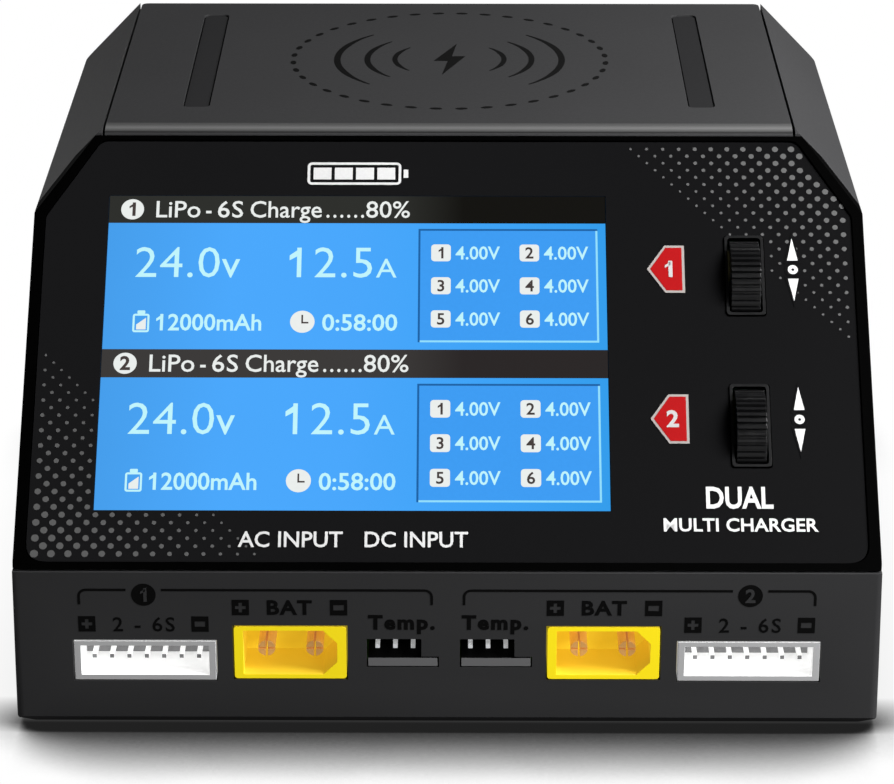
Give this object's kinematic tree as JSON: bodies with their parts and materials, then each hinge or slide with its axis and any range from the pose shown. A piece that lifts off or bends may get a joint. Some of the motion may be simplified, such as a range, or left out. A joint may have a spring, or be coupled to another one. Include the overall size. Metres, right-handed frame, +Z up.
{
  "type": "desktop battery charger",
  "caption": "Two-channel battery pack charger: wedge-fronted case with a lit screen, roller knobs, front battery and balance sockets, rear fans and a wireless charging lid.",
  "frame": {"origin": "centre of the footprint, on the plane that the rubber feet stand on", "axes": "+Z up; the charger faces -Y, with its screen and front sockets on that side; +X is to the right as seen from the front"},
  "size_m": [0.1238, 0.1184, 0.0737],
  "materials": {
    "casing": "fine moulded texture, charcoal",
    "bezel": "smooth black",
    "overlay": "satin printed film, near black",
    "screen": "lit blue display behind a clear window",
    "screen_frame": "black",
    "rubber": "matt black",
    "steel": "bright",
    "roller": "satin black",
    "fan_rotor": "satin black",
    "black_plastic": "satin black",
    "white_plastic": "moulded white",
    "yellow_plastic": "moulded yellow",
    "gold_contact": "gold plated",
    "circuit_board": "green solder mask",
    "ferrite": "dark grey",
    "capacitor": "black sleeve",
    "heat_sink": "bare extrusion",
    "copper": "wound copper wire"
  },
  "bodies": {
    "charger": {"lower_shell": "casing", "upper_shell": "casing", "lid": "casing", "rear_plate": "casing", "front_bezel": "bezel", "front_overlay": "overlay", "screen_window": "screen", "screen_module": "screen_frame", "display_board": "circuit_board", "grip_strip_left": "rubber", "grip_strip_right": "rubber", "foot_1": "rubber", "foot_2": "rubber", "foot_3": "rubber", "foot_4": "rubber", "case_screw_1": "steel", "case_screw_2": "steel", "case_screw_3": "steel", "case_screw_4": "steel", "encoder_base_1": "black_plastic", "encoder_base_2": "black_plastic", "press_switch_1": "steel", "press_switch_2": "steel", "battery_socket_1": "yellow_plastic", "battery_pin_positive_1": "gold_contact", "battery_pin_negative_1": "gold_contact", "balance_header_1": "white_plastic", "sensor_header_1": "black_plastic", "battery_socket_2": "yellow_plastic", "battery_pin_positive_2": "gold_contact", "battery_pin_negative_2": "gold_contact", "balance_header_2": "white_plastic", "sensor_header_2": "black_plastic", "ac_inlet": "black_plastic", "ac_blade_line": "steel", "ac_blade_neutral": "steel", "ac_blade_earth": "steel", "dc_socket": "yellow_plastic", "dc_pin_positive": "gold_contact", "dc_pin_negative": "gold_contact", "usb_port": "steel", "fan_frame_1": "black_plastic", "fan_frame_2": "black_plastic", "main_board": "circuit_board", "power_board": "circuit_board", "transformer": "ferrite", "bulk_capacitor": "capacitor", "heat_sink": "heat_sink", "charging_coil": "copper", "ferrite_sheet": "ferrite", "wireless_board": "circuit_board"},
    "roller_carrier_1": {"roller_yoke_1": "black_plastic", "roller_axle_1": "steel"},
    "roller_1": {"roller_wheel_1": "roller"},
    "roller_carrier_2": {"roller_yoke_2": "black_plastic", "roller_axle_2": "steel"},
    "roller_2": {"roller_wheel_2": "roller"},
    "fan_1": {"fan_rotor_1": "fan_rotor"},
    "fan_2": {"fan_rotor_2": "fan_rotor"}
  },
  "joints": [
    {"name": "roller_press_1", "type": "slide", "parent": "charger", "child": "roller_carrier_1", "axis": [0, 0.6626, -0.749], "range_m": [0, 0.0005], "stiffness_N_per_m": 150, "springref_m": -0.004},
    {"name": "roller_spin_1", "type": "hinge", "parent": "roller_carrier_1", "child": "roller_1", "pos_m": [0.0437, -0.02078, 0.05391], "axis": [1, 0, 0], "continuous": true},
    {"name": "roller_press_2", "type": "slide", "parent": "charger", "child": "roller_carrier_2", "axis": [0, 0.6626, -0.749], "range_m": [0, 0.0005], "stiffness_N_per_m": 150, "springref_m": -0.004},
    {"name": "roller_spin_2", "type": "hinge", "parent": "roller_carrier_2", "child": "roller_2", "pos_m": [0.0437, -0.03898, 0.03781], "axis": [1, 0, 0], "continuous": true},
    {"name": "fan_spin_1", "type": "hinge", "parent": "charger", "child": "fan_1", "pos_m": [-0.0225, 0.0504, 0.0464], "axis": [0, 1, 0], "continuous": true},
    {"name": "fan_spin_2", "type": "hinge", "parent": "charger", "child": "fan_2", "pos_m": [0.0225, 0.0504, 0.0464], "axis": [0, 1, 0], "continuous": true}
  ]
}
